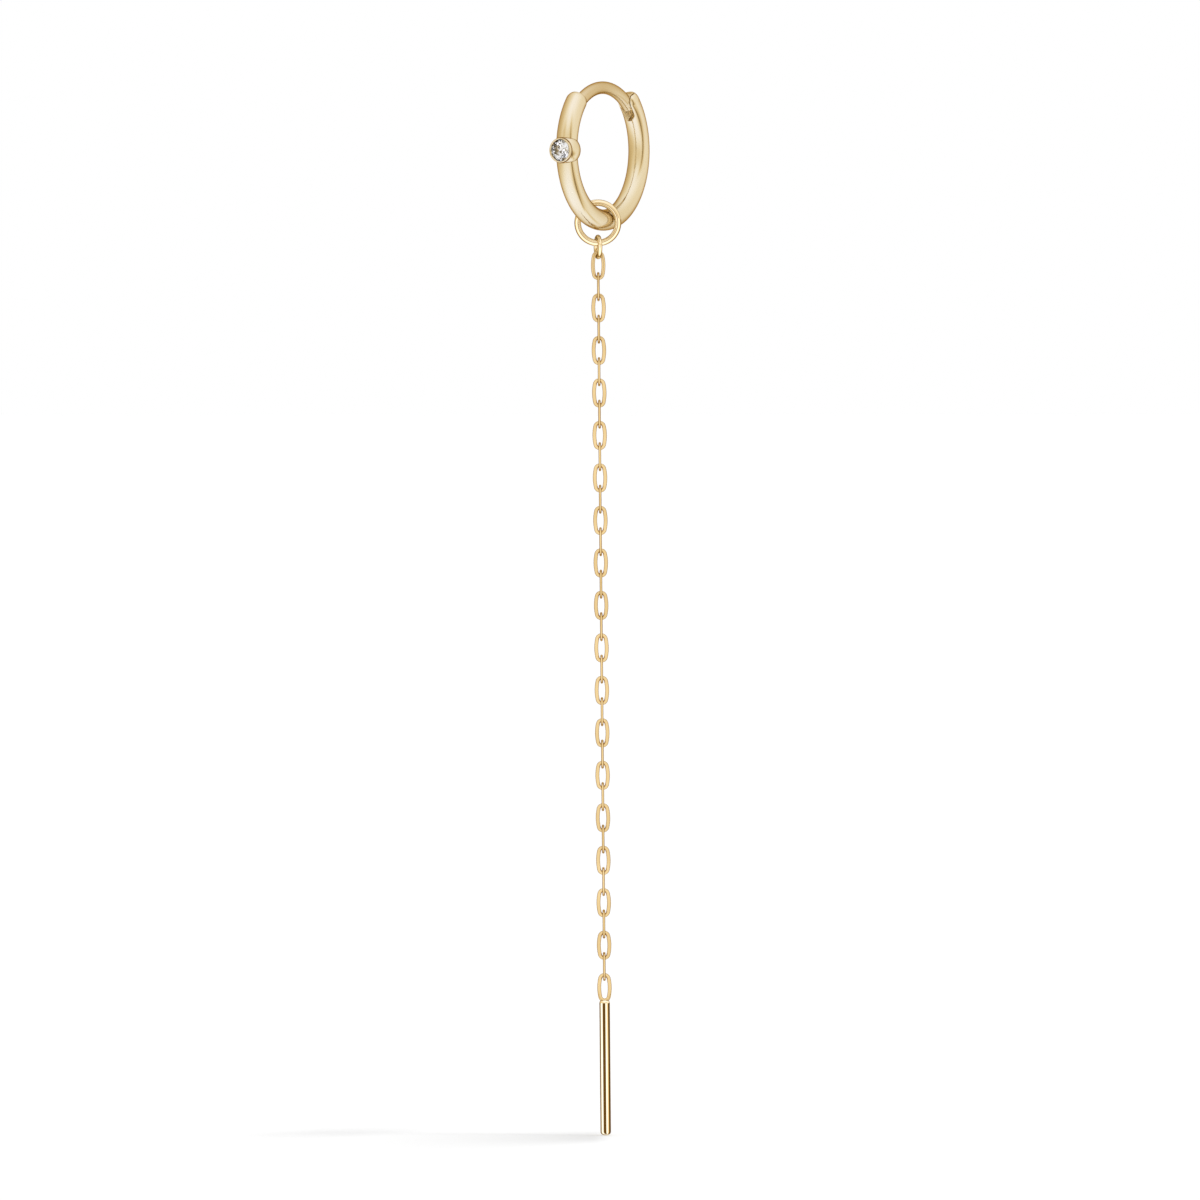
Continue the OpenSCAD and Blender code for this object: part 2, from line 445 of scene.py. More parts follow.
# A lighter, matt copy of the gold for the sawn faces in the hinge slot: painted light that keeps
# the recess from going dark.
LIGHTENED_SLOT_GOLD = GoldFinish(
    "lightened_slot_gold", (1.0, 0.84, 0.52), (0.96, 0.80, 0.47), 0.7, 0.1, 0.1, metal=0.0
)
WIRE_GOLD = GoldFinish(
    "ear_wire_gold", (0.66, 0.56, 0.38), (0.64, 0.53, 0.35), 0.14, 0.04, 0.03
)
BRIGHT_GOLD = GoldFinish(
    "bright_gold", (0.89, 0.77, 0.55), (0.86, 0.73, 0.49), 0.05, 0.03, 0.02, (0.15, 0.08, 0.02)
)
BAR_GOLD = GoldFinish(
    "bar_gold", (0.98, 0.91, 0.76), (0.95, 0.87, 0.69), 0.04, 0.03, 0.03, (0.3, 0.17, 0.05),
    along=(1.0, 1.0, 0.08),
)
CHAIN_GOLD = GoldFinish(
    "link_gold", (0.66, 0.50, 0.27), (0.60, 0.44, 0.22), 0.12, 0.05, 0.05, (0.3, 0.18, 0.06)
)
CLEAR_STONE = StoneFinish("clear_stone", (0.98, 0.985, 1.0), 2.4)


# Mesh building


def new_object(name: str, data: bpy.types.ID) -> Object:
    """Puts a new object into the scene.

    Args:
        name: the object's name.
        data: its mesh, light or camera.

    Returns:
        The new object.
    """
    thing = bpy.data.objects.new(name, data)
    bpy.context.scene.collection.objects.link(thing)
    return thing


def place_piece(
    name: str, mesh: Mesh, finish: GoldFinish | StoneFinish, body: Body, node: str
) -> None:
    """Puts a finished mesh into the scene on its body, in place of its solid.

    Args:
        name: the piece's name.
        mesh: the mesh, in metres in the row frame.
        finish: what it is dressed in.
        body: the body that carries it.
        node: the solid that it stands for.
    """
    mesh.materials.append(finish.material())
    piece = new_object(name, mesh)
    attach(piece, body.value)
    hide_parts(node)
    LOG.info("%s: %d faces on %s for %s", name, len(mesh.polygons), body.value, node)


def new_mesh(
    name: str, points: Sequence[Triple] | Array, faces: Faces, sharp: float | None = None
) -> Mesh:
    """Makes a smooth mesh.

    Args:
        name: the mesh's name.
        points: x, y and z of each point, in millimetres.
        faces: the point numbers of each face.
        sharp: the angle in radians above which an edge stays sharp, if any.

    Returns:
        The mesh, in metres.
    """
    mesh = bpy.data.meshes.new(name)
    mesh.from_pydata((np.array(points) * MM).tolist(), [], faces)
    mesh.update()
    mesh.shade_smooth()
    if sharp is not None:
        mesh.set_sharp_from_angle(angle=sharp)
    return mesh


def read_all(items: bpy.types.bpy_prop_collection, key: str, width: int = 1) -> Array:
    """Reads one property of all of a mesh's points, corners or faces.

    Args:
        items: the points, corners or faces.
        key: the property's name.
        width: 3 for a place or direction, and 1 for a whole number.

    Returns:
        The values, one row for each item.
    """
    values = np.zeros(len(items) * width, float if width > 1 else int)
    items.foreach_get(key, values)
    return values.reshape(-1, width) if width > 1 else values


def loop_faces(rows: int, columns: int, closed: bool) -> list[tuple[int, ...]]:
    """Joins rows of points, each a closed loop, into quads.

    Args:
        rows: how many loops there are.
        columns: how many points each loop has.
        closed: whether the last loop joins the first.

    Returns:
        The quads' point numbers.
    """
    count = rows if closed else rows - 1
    starts = [(i * columns, (i + 1) % rows * columns) for i in range(count)]
    pairs = [(j, (j + 1) % columns) for j in range(columns)]
    return [(a + j, b + j, b + k, a + k) for a, b in starts for j, k in pairs]


def hung(points: Array, z: float = 0.0) -> Array:
    """Returns points about the hanging line, lifted by z, in the row frame."""
    return turned(points + (*LINE_PLACE, z), VIEW_TURN)


@dataclass(frozen=True)
class WireLoop:
    """A closed loop of wire, a ring or an oval of four arcs, that hangs on the line."""

    length: float
    width: float
    wire_w: float
    wire_t: float
    end_r: float
    fullness: float = 2.0
    end_steps: int = 24
    side_steps: int = 8
    section_steps: int = 20

    @classmethod
    def ring(cls, width: float, wire: float, steps: int, section_steps: int) -> "WireLoop":
        """Returns a round ring of round wire."""
        r = (width - wire) / 2
        return cls(width, width, wire, wire, r, end_steps=steps, section_steps=section_steps)

    def path(self) -> list[Triple]:
        """Walks round the wire's centre-line.

        Returns:
            Place x and z, and the angle of the outward direction from the x axis, of each step.
        """
        half_w, half_l = (self.width - self.wire_w) / 2, (self.length - self.wire_w) / 2
        rest = half_l - self.end_r
        if rest <= 0:
            angles = [2 * math.pi * i / self.end_steps for i in range(self.end_steps)]
            return [(half_w * math.cos(a), half_w * math.sin(a), a) for a in angles]
        side_r = (half_w ** 2 + rest ** 2 - self.end_r ** 2) / (2 * (half_w - self.end_r))
        turn = math.asin(rest / (side_r - self.end_r))
        arcs = (
            (self.side_steps, half_w - side_r, 0.0, side_r, -turn, turn),
            (self.end_steps, 0.0, rest, self.end_r, turn, math.pi - turn),
        )
        steps = []
        for flip, sign in ((0.0, 1), (math.pi, -1)):
            for count, x, z, r, first, last in arcs:
                for i in range(count):
                    a = first + (last - first) * i / count
                    out, up = x + r * math.cos(a), z + r * math.sin(a)
                    steps.append((sign * out, sign * up, a + flip))
        return steps

    def mesh(self, name: str, height: float, turn: float = 0.0) -> Mesh:
        """Sweeps the section round the loop and hangs it on the line.

        Args:
            name: the mesh's name.
            height: the height of the loop's centre.
            turn: the turn of its plane about the vertical, in radians.

        Returns:
            The mesh, in metres.
        """
        rows = []
        path = self.path()
        for x, z, angle in path:
            for c, s in round_steps(self.section_steps):
                swell = (abs(c) ** self.fullness + abs(s) ** self.fullness) ** (-1 / self.fullness)
                out, side = self.wire_w / 2 * c * swell, self.wire_t / 2 * s * swell
                rows.append((x + out * math.cos(angle), -side, z + out * math.sin(angle)))
        faces = loop_faces(len(path), self.section_steps, True)
        return new_mesh(name, hung(turned(np.array(rows), turn), height), faces)


@dataclass(frozen=True)
class RoundSurface:
    """A surface at one distance from its core. side is 1 round metal and -1 round a hole."""

    r: float
    side = 1

    def core(self, p: Array) -> Array:
        """Returns the nearest place on the core to each point."""
        raise NotImplementedError

    def normal(self, p: Array) -> Array:
        """Returns the direction out of the metal at each point."""
        return self.side * units(p - self.core(p))

    def snap(self, p: Array) -> Array:
        """Returns the nearest place on the surface to each point."""
        return self.core(p) + self.r * units(p - self.core(p))


@dataclass(frozen=True)
class RingTube(RoundSurface):
    """A round tube bent to a circle in the hoop's plane."""

    centre_z: float
    ring_r: float

    def core(self, p: Array) -> Array:
        """Returns the nearest place on the tube's centre-line to each point."""
        centre = (0.0, 0.0, self.centre_z)
        return self.ring_r * units(p * (0, 1, 1) - centre) + centre


@dataclass(frozen=True)
class Ball(RoundSurface):
    """A sphere."""

    centre: Triple

    def core(self, p: Array) -> Array:
        """Returns the centre, whatever the points are."""
        return np.array(self.centre)


@dataclass(frozen=True)
class Drum(RoundSurface):
    """A cylinder's round side. Its axis has length one."""

    centre: Triple
    axis: Triple
    side: int = 1

    def core(self, p: Array) -> Array:
        """Returns the nearest place on the axis to each point."""
        return np.outer((p - self.centre) @ np.array(self.axis), self.axis) + self.centre


@dataclass
class TrueSkin:
    """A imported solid's skin, made finer and rounder on the true surfaces that it lies on."""

    node: str
    surfaces: Sequence[RoundSurface]
    flat_cuts: bool = True
    rounds: int = 2
    weld: float = 0.0001
    near: float = 0.006
    sag: float = 0.04
    facing: float = 0.8
    settling: int = 6
    crease: float = math.radians(30)

    def build(self) -> tuple[Mesh, Array]:
        """Refines the skin.

        Returns:
            A new mesh in metres, with its own normals, and each face's surface, counted from 1.
        """
        bm = bmesh.new()
        bm.from_mesh(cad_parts[self.node].data)
        bmesh.ops.remove_doubles(bm, verts=bm.verts, dist=self.weld * MM)
        kind = bm.faces.layers.int.new("surface")
        self._sort(bm, kind)
        for _ in range(self.rounds):
            bmesh.ops.subdivide_edges(bm, edges=bm.edges, cuts=1, use_grid_fill=True)
            self._round(bm, kind)
        mesh = bpy.data.meshes.new(self.node + "_skin")
        bm.to_mesh(mesh)
        bm.free()
        return mesh, self._set_normals(mesh)

    def _sort(self, bm: Skin, kind: Layer) -> None:
        """Notes for each face which surface it lies on, counting from 1, or 0 for none.

        Args:
            bm: the skin.
            kind: the layer that takes the number.
        """
        for face in bm.faces:
            corners = np.array([v.co for v in face.verts]) / MM
            middle = corners.mean(0, keepdims=True)
            for number, surface in enumerate(self.surfaces, 1):
                off, under = (np.abs(surface.snap(p) - p).max() for p in (corners, middle))
                facing = np.dot(surface.normal(middle)[0], face.normal) > self.facing
                if off < self.near and (under < self.near or facing and under < self.sag):
                    face[kind] = number
                    break

    def _round(self, bm: Skin, kind: Layer) -> None:
        """Puts every point onto the true surfaces of the faces round it.

        Args:
            bm: the skin.
            kind: the layer with each face's surface number.
        """
        groups: dict[tuple[int, ...], list] = {}
        for v in bm.verts:
            numbers = tuple(sorted({f[kind] for f in v.link_faces} - {0}))
            if numbers:
                groups.setdefault(numbers, []).append(v)
        for numbers, verts in groups.items():
            p = np.array([v.co for v in verts]) / MM
            for _ in range(self.settling if len(numbers) > 1 else 1):
                for number in numbers:
                    p = self.surfaces[number - 1].snap(p)
            for v, q in zip(verts, p * MM, strict=True):
                v.co = q

    def _set_normals(self, mesh: Mesh) -> Array:
        """Gives round faces their true normals and the cut faces plain flat ones.

        Args:
            mesh: the skin, with the surface numbers on its faces.

        Returns:
            The surface numbers.
        """
        mesh.shade_smooth()
        mesh.set_sharp_from_angle(angle=self.crease)
        mesh.update()
        normals = read_all(mesh.corner_normals, "vector", 3)
        corners = read_all(mesh.vertices, "co", 3)[read_all(mesh.loops, "vertex_index")] / MM
        numbers = read_all(mesh.attributes["surface"].data, "value")
        sizes = read_all(mesh.polygons, "loop_total")
        per_corner = np.repeat(numbers, sizes)
        if self.flat_cuts:
            cut = per_corner == 0
            normals[cut] = np.repeat(read_all(mesh.polygons, "normal", 3), sizes, axis=0)[cut]
        for number, surface in enumerate(self.surfaces, 1):
            chosen = per_corner == number
            normals[chosen] = surface.normal(corners[chosen])
        mesh.attributes.remove(mesh.attributes["surface"])
        mesh.normals_split_custom_set(normals.tolist())
        return numbers


# The earring's own pieces


@dataclass
class Hoop:
    """The hoop's tube with its bezel, hinge ears and catch slot."""

    ring_r: float = 4.85
    tube_r: float = 0.735
    ball_offset: float = 5.0
    ball_r: float = 1.035
    cup_r: float = 0.85
    pin_offset: float = 4.76
    pin_angle: float = math.radians(135)
    pocket_r: float = 0.58
    round_angles: tuple[float, float] = (math.radians(43), math.radians(137))
    end_normal: Triple = (0.0, -0.41, 0.91)
    end_facing: float = 0.9
    slot_front: float = 2.5

    def pin(self) -> Triple:
        """Returns the middle of the hinge pin."""
        return on_circle(HOOP_Z, self.pin_offset, self.pin_angle)

    def build(self) -> None:
        """Makes the hoop."""
        front = (0.0, -self.ball_offset, HOOP_Z)
        ends = [on_circle(HOOP_Z, self.ring_r, a) for a in self.round_angles]
        surfaces = [
            RingTube(self.tube_r, HOOP_Z, self.ring_r),
            Ball(self.ball_r, front),
            Drum(self.cup_r, front, (0, 1, 0)),
            Drum(self.pocket_r, self.pin(), (1, 0, 0), side=-1),
            *(Ball(self.tube_r, end) for end in ends),
        ]
        mesh, numbers = TrueSkin("hoop_body", surfaces).build()
        place_piece("hoop", mesh, HOOP_GOLD, Body.HOOP, "hoop_body")
        # the sawn faces in the slot take the lightened gold, painted lighter than the polished hoop
        mesh.materials.append(LIGHTENED_SLOT_GOLD.material())
        mesh.polygons.foreach_set("material_index", self._in_slot(mesh, numbers).astype(int))
        mesh.update()

    def _in_slot(self, mesh: Mesh, numbers: Array) -> Array:
        """Finds the sawn faces between the hinge ears.

        Args:
            mesh: the hoop's mesh, in metres.
            numbers: the surface of each face: 0 for a cut and 4 for the knuckle's pocket.

        Returns:
            True for each face inside the slot.
        """
        end = read_all(mesh.polygons, "normal", 3) @ np.array(self.end_normal) > self.end_facing
        back = read_all(mesh.polygons, "center", 3)[:, 1] > self.slot_front * MM
        return np.isin(numbers, (0, 4)) & back & ~end


@dataclass
class EarWire:
    """The curved wire through the ear, with its knuckle at the back."""

    arc_r: float = 5.295
    arc_drop: float = 1.015
    wire_r: float = 0.4325
    tip_angle: float = math.radians(53.2)
    tip_r: float = 0.4285
    knuckle_r: float = 0.55

    def build(self, pin: Triple) -> None:
        """Makes the wire.

        Args:
            pin: the middle of the hinge pin.
        """
        z = HOOP_Z - self.arc_drop
        surfaces = [
            RingTube(self.wire_r, z, self.arc_r),
            Drum(self.knuckle_r, pin, (1, 0, 0)),
            Ball(self.tip_r, on_circle(z, self.arc_r, self.tip_angle)),
        ]
        mesh, _ = TrueSkin("ear_arm", surfaces, flat_cuts=False).build()
        place_piece("ear_wire", mesh, WIRE_GOLD, Body.EAR_WIRE, "ear_arm")


@dataclass
class Brilliant:
    """The round stone with all the flat facets of a brilliant cut."""

    diameter: float = 1.48
    rim_offset: float = 5.8
    crown: float = 0.15
    girdle: float = 0.03
    pavilion: float = 0.43
    table: float = 0.56
    star: float = 0.77
    lower: float = 0.24

    def build(self) -> None:
        """Makes the stone with its table forward."""
        r, half = self.diameter / 2, math.pi / 8
        crown, girdle, depth = (self.diameter * v for v in (self.crown, self.girdle, self.pavilion))
        star_h = girdle + crown * (1 - self.star * math.cos(half)) / (1 - self.table)
        lower_h = -depth * (1 - self.lower * math.cos(half))
        base = self.rim_offset - crown - girdle
        rings = (
            (8, self.table * r, girdle + crown, 0.0),
            (8, self.star * r, star_h, half),
            (16, r, girdle, 0.0),
            (16, r, 0.0, 0.0),
            (8, self.lower * r, lower_h, half),
        )
        points = []
        for n, radius, h, turn in rings:
            for c, s in round_steps(n, turn):
                points.append((radius * c, -(base + h), HOOP_Z + radius * s))
        points.append((0.0, -(base - depth), HOOP_Z))
        mesh = new_mesh("brilliant", points, self._facets())
        bm = bmesh.new()
        bm.from_mesh(mesh)
        bmesh.ops.recalc_face_normals(bm, faces=bm.faces)
        bm.to_mesh(mesh)
        bm.free()
        mesh.shade_flat()
        place_piece("stone_cut", mesh, CLEAR_STONE, Body.HOOP, "stone")

    @staticmethod
    def _facets() -> list[list[int]]:
        """Lists the facets: the table, then an eighth of the stone at a time.

        Returns:
            The facets' point numbers.
        """
        top, stars, upper, under, lows, tip = 0, 8, 16, 32, 48, 56
        faces = [[top + i for i in range(8)]]
        for i in range(8):
            j = (i + 1) % 8
            a, b, c = (upper + (2 * i + n) % 16 for n in range(3))
            d, e, f = (under + (2 * i + n) % 16 for n in range(3))
            faces += [
                [top + i, stars + i, top + j],
                [top + i, stars + (i - 1) % 8, a, stars + i],
                [stars + i, a, b],
                [stars + i, b, c],
                [a, d, e, b],
                [b, e, f, c],
                [lows + i, e, d],
                [lows + i, f, e],
                [tip, lows + i, d, lows + (i - 1) % 8],
            ]
        return faces


@dataclass
class Rings:
    """The jump ring over the hoop and the small connector ring under it."""

    jump: WireLoop = WireLoop.ring(3.23, 0.455, steps=144, section_steps=40)
    jump_z: float = HOOP_Z - 5.037
    connector: WireLoop = WireLoop.ring(1.7, 0.3, steps=96, section_steps=32)
    connector_z: float = -10.977
    connector_turn: float = math.radians(102)

    def build(self) -> None:
        """Makes both rings."""
        mesh = self.jump.mesh("jump_ring_round", self.jump_z)
        place_piece(mesh.name, mesh, BRIGHT_GOLD, Body.HOOP, "jump_ring")
        mesh = self.connector.mesh("connector_round", self.connector_z, self.connector_turn)
        place_piece(mesh.name, mesh, BRIGHT_GOLD, Body.HOOP, "connector_ring")


@dataclass
class Chain:
    """The oval links, in turn facing and edge-on."""

    count: int = 34
    first_z: float = -12.25
    pitch: float = 1.466
    link: WireLoop = WireLoop(2.01, 0.99, 0.262, 0.18, 0.3, fullness=2.3)

    def z(self, number: int) -> float:
        """Returns the height of a link's centre, counted from 1."""
        return self.first_z - (number - 1) * self.pitch

    def build(self) -> None:
        """Makes every link."""
        for number in range(1, self.count + 1):
            name = f"link_{number:02d}"
            mesh = self.link.mesh(name, self.z(number), 0.0 if number % 2 else math.pi / 2)
            place_piece(name, mesh, CHAIN_GOLD, Body.HOOP, "chain_" + name)


@dataclass
class Drop:
    """The round bar with its softened edges, and the end link soldered into its top."""

    radius: float = 0.3625
    length: float = 9.33
    edge: float = 0.22
    edge_steps: int = 8
    sink: float = 0.17
    rim: float = 0.03
    sides: int = 96
    crease: float = math.radians(40)

    def build(self, chain: Chain) -> None:
        """Makes the bar and its link.

        Args:
            chain: the chain above, which gives the link's size and place.
        """
        end_z = chain.z(chain.count + 1)
        link = chain.link.mesh("end_link", end_z)
        place_piece("end_link", link, CHAIN_GOLD, Body.DROP, "drop_bar")
        bar = self._bar(end_z - chain.link.length / 2 + self.sink)
        place_piece("bar", bar, BAR_GOLD, Body.DROP, "drop_bar")

    def _bar(self, top: float) -> Mesh:
        """Turns the bar's outline about the hanging line.

        Args:
            top: the height of the bar's top.

        Returns:
            The bar's mesh.
        """
        outline = []
        for i in range(self.edge_steps + 1):
            a = math.pi / 2 * i / self.edge_steps
            r, z = self.radius - self.edge * (1 - math.sin(a)), top - self.edge * (1 - math.cos(a))
            outline.append((r, z))
        outline.append((self.radius, top - self.edge - self.rim))
        outline += [(r, 2 * top - self.length - z) for r, z in reversed(outline)]
        points = [(r * c, -r * s, z) for r, z in outline for c, s in round_steps(self.sides)]
        faces = loop_faces(len(outline), self.sides, False)
        faces.append(tuple(reversed(range(self.sides))))
        faces.append(tuple(range(len(points) - self.sides, len(points))))
        return new_mesh("bar", hung(np.array(points)), faces, self.crease)


@dataclass
class HiddenPin:
    """The hinge pin, which keeps its solid and gets the wire's gold."""

    node: str = "hinge_pin"

    def build(self) -> None:
        """Dresses the pin."""
        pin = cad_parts[self.node]
        pin.data.materials.clear()
        pin.data.materials.append(WIRE_GOLD.material())
        LOG.info("%s: dressed", self.node)


# The room


def hide_from(thing: Object, *rays: Ray) -> None:
    """Keeps an object from some kinds of ray."""
    for ray in rays:
        setattr(thing, ray.value, False)


def stage_aid(mesh: Mesh, material: Material, *rays: Ray) -> None:
    """Puts a part of the studio into the scene.

    Args:
        mesh: its mesh, whose name it takes.
        material: its material.
        *rays: the kinds of ray that don't see it.
    """
    mesh.materials.append(material)
    aid = new_object(mesh.name, mesh)
    hide_from(aid, *rays)


@dataclass(frozen=True)
class SoftShade:
    """A soft darker area, in degrees: azimuth from the photograph's side, and elevation."""

    azimuth: float
    elevation: float
    width: float
    height: float
    depth: float
    slant: float = 0.0


@dataclass(frozen=True)
class ShadeFalloff:
    """Node group that gives how dark one soft area makes a direction."""

    inputs: Sequence[str] = (
        "Azimuth", "Elevation", "Centre Azimuth", "Centre Elevation", "Width", "Height", "Depth",
        "Slant",
    )

    @cache
    def group(self) -> Tree:
        """Builds the group on its first use.

        Returns:
            The node tree with the output Shade.
        """
        tree, start, end = new_group("ShadeFalloff", dict.fromkeys(self.inputs, 0.0), ("Shade",))
        g = Graph(tree)
        get = start.outputs
        up = g.math("SUBTRACT", get["Elevation"], get["Centre Elevation"])
        across = g.math("SUBTRACT", get["Azimuth"], get["Centre Azimuth"])
        across = g.math("SUBTRACT", across, g.product(get["Slant"], up))
        across = g.math("DIVIDE", g.math("WRAP", across, 180.0, -180.0), get["Width"])
        far = g.squares(across, g.math("DIVIDE", up, get["Height"]))
        fade = g.math("EXPONENT", g.product(far, -1.0))
        g.fill(end, {"Shade": g.product(fade, get["Depth"])})
        return tree

    def placed(self, g: Graph, azimuth: Socket, elevation: Socket, area: SoftShade) -> Socket:
        """Returns how much darker an area makes a direction, from the direction's two angles."""
        feeds = dict(zip(self.inputs, (azimuth, elevation, *astuple(area)), strict=True))
        return g.add("ShaderNodeGroup", feeds, node_tree=self.group()).outputs["Shade"]


FALLOFF = ShadeFalloff()


@dataclass
class Room:
    """The soft room that the gold mirrors, the white it stands in, and what the stone sees."""

    white: tuple[float, ...] = (1.0, 1.0, 1.0, 1.0)
    fill: tuple[float, ...] = (0.86, 0.86, 0.86, 1.0)
    open_level: float = 0.98
    gain: float = 1.25
    shades: Sequence[SoftShade] = (
        SoftShade(-135, 5, 45, 30, 0.16),
        SoftShade(-100, 26, 50, 48, 0.23),
        SoftShade(90, 22, 45, 42, 0.11),
        SoftShade(180, 0, 60, 70, 0.14),
        SoftShade(-70, -8, 40, 22, 0.13),
        SoftShade(0, 8, 45, 21, 0.19),
        SoftShade(46, -3, 12, 30, 0.26, -0.5),
        SoftShade(44, -3, 4.5, 26, 0.48, -0.5),
        SoftShade(60, -27, 26, 16, 0.33),
        SoftShade(66, -42, 7, 13, 0.42, -0.6),
        SoftShade(100, -46, 24, 6, 0.20),
        SoftShade(150, -14, 24, 22, 0.10),
        SoftShade(-60, -60, 60, 16, -0.05),
        SoftShade(-37, 26, 15, 15, 0.15),
    )
    tones: Stops = (
        (0.0, (0.02, 0.01, 0.0)), (0.38, (0.38, 0.27, 0.14)), (0.55, (0.55, 0.41, 0.20)),
        (0.7, (0.70, 0.56, 0.33)), (0.79, (0.79, 0.68, 0.48)), (0.85, (0.85, 0.77, 0.61)),
        (0.9, (0.90, 0.85, 0.75)), (0.95, (0.95, 0.92, 0.89)), (1.0, (1.0, 1.01, 1.08)),
    )
    spot_scale: float = 4.5
    spots: Stops = (
        (0.0, (0.0, 0.0, 0.0)), (0.42, (0.01, 0.01, 0.01)),
        (0.5, (0.7, 0.72, 0.78)), (1.0, (2.0, 2.0, 2.1)),
    )

    def build(self) -> None:
        """Makes the world."""
        world = bpy.data.worlds.new("soft_room")
        bpy.context.scene.world = world
        g = bare_graph(world)
        direction = g.add("ShaderNodeTexCoord").outputs["Generated"]
        azimuth = g.azimuth(direction)
        height = g.reach(direction, (0.0, 0.0, 1.0))
        elevation = g.math("DEGREES", g.math("ARCSINE", height))
        level: object = self.open_level
        for shade in self.shades:
            level = g.math("SUBTRACT", level, FALLOFF.placed(g, azimuth, elevation, shade))
        mirrored = g.vector("MULTIPLY", g.ramp(level, self.tones), (self.gain,) * 3).outputs[0]
        path = g.add("ShaderNodeLightPath").outputs
        seen = g.mix(path["Is Diffuse Ray"], self.white, self.fill, Mixed.COLOUR)
        seen = g.mix(path["Is Glossy Ray"], seen, mirrored, Mixed.COLOUR)
        sparkle = self._sparkle(g, direction)
        seen = g.mix(path["Is Transmission Ray"], seen, sparkle, Mixed.COLOUR)
        g.end(g.add("ShaderNodeBackground", {"Color": seen}), "ShaderNodeOutputWorld")
        LOG.info("room: %d soft shades", len(self.shades))

    def _sparkle(self, g: Graph, direction: Socket) -> Socket:
        """Builds the lights and flags that the stone gathers.

        Args:
            g: the world's graph.
            direction: the way that is looked.

        Returns:
            A black, grey and white colour.
        """
        feeds = {"Vector": direction, "Scale": self.spot_scale}
        cells = g.add("ShaderNodeTexVoronoi", feeds, feature="F1")
        split = g.add("ShaderNodeSeparateColor", {0: cells.outputs["Color"]})
        return g.ramp(split.outputs[0], self.spots)


@dataclass
class StripTent:
    """Tall soft strips in a drum round one part of the earring, unseen by what is outside it."""

    name: str
    radius: float
    top: float
    bottom: float
    fade: float
    strength: float
    strips: Stops
    spot: SoftShade | None = None
    spot_colour: Triple = (0.25, 0.15, 0.05)
    rim: float = 0.01
    sides: int = 128

    def build(self) -> None:
        """Makes the tent's wall, its clear lids and its light."""
        points, r = [], self.radius
        for c, s in round_steps(self.sides):
            points += [(r * s, -r * c, z) for z in (self.bottom, self.top)]
        pairs = [(2 * i, 2 * ((i + 1) % self.sides)) for i in range(self.sides)]
        faces = [(a, a + 1, b + 1, b) for a, b in pairs]
        faces += [tuple(range(end, 2 * self.sides, 2)) for end in (0, 1)]
        mesh = new_mesh(self.name, points, faces)
        stage_aid(
            mesh, self._wall(), Ray.CAMERA, Ray.DIFFUSE, Ray.SHADOW, Ray.TRANSMISSION, Ray.VOLUME
        )
        LOG.info("%s: %d stops", self.name, len(self.strips))

    def _wall(self) -> Material:
        """Builds the wall, lit only for what looks at it from inside.

        Returns:
            The Blender material.
        """
        material = bpy.data.materials.new(self.name + "_light")
        material.cycles.emission_sampling = "NONE"
        g = bare_graph(material)
        place = g.add("ShaderNodeTexCoord").outputs["Object"]
        azimuth = g.azimuth(place)
        height = g.reach(place, (0.0, 0.0, 1 / MM))
        share = g.math("DIVIDE", g.math("ADD", azimuth, 180.0), 360.0)
        colour = g.ramp(share, [((a + 180) / 360, colour) for a, colour in self.strips])
        if self.spot is not None:
            shade = FALLOFF.placed(g, azimuth, height, self.spot)
            colour = g.mix(shade, colour, (*self.spot_colour, 1.0), Mixed.COLOUR)
        depth = g.add("ShaderNodeLightPath").outputs["Transparent Depth"]
        outside = g.add("ShaderNodeNewGeometry").outputs["Backfacing"]
        above = g.step(height, self.top - self.fade, self.top - self.rim)
        lit = g.product(g.math("LESS_THAN", depth, 0.5), g.rest(outside), g.rest(above))
        g.end_clear(lit, g.add("ShaderNodeEmission", {"Color": colour, "Strength": self.strength}))
        return material


WHITE = (1.0, 0.99, 0.95)
WARM = (1.0, 0.95, 0.84)
CREAM = (0.95, 0.88, 0.7)
CHAIN_STRIPS = (
    (55.0, WHITE), (74.0, (0.9, 0.78, 0.52)),
    (98.0, (0.30, 0.19, 0.07)), (138.0, (0.24, 0.15, 0.05)),
    (155.0, CREAM), (180.0, CREAM),
)

BAR_TENT = StripTent(
    "bar_tent",
    radius=6.0,
    top=-62.95,
    bottom=-74.0,
    fade=0.02,
    strength=1.35,
    strips=(
        (-180.0, WARM), (-156.0, WARM),
        (-140.0, (0.16, 0.09, 0.02)), (-98.0, (0.20, 0.12, 0.03)),
        (-87.0, WHITE), (-49.0, WHITE),
        (-43.0, (0.11, 0.055, 0.008)), (8.0, (0.11, 0.055, 0.008)),
        (14.0, WHITE), (46.0, WARM),
        (57.0, (0.75, 0.54, 0.26)), (70.0, (0.6, 0.38, 0.14)),
        (78.0, (0.07, 0.03, 0.004)), (138.0, (0.08, 0.04, 0.005)),
        (152.0, WARM), (180.0, WARM),
    ),
)
CHAIN_TENT = StripTent(
    "chain_tent",
    radius=14.0,
    top=-7.2,
    bottom=-62.95,
    fade=0.3,
    strength=1.4,
    strips=(*((-a, colour) for a, colour in reversed(CHAIN_STRIPS)), *CHAIN_STRIPS),
    spot=SoftShade(0, -9.3, 16, 3.8, 0.95),
)


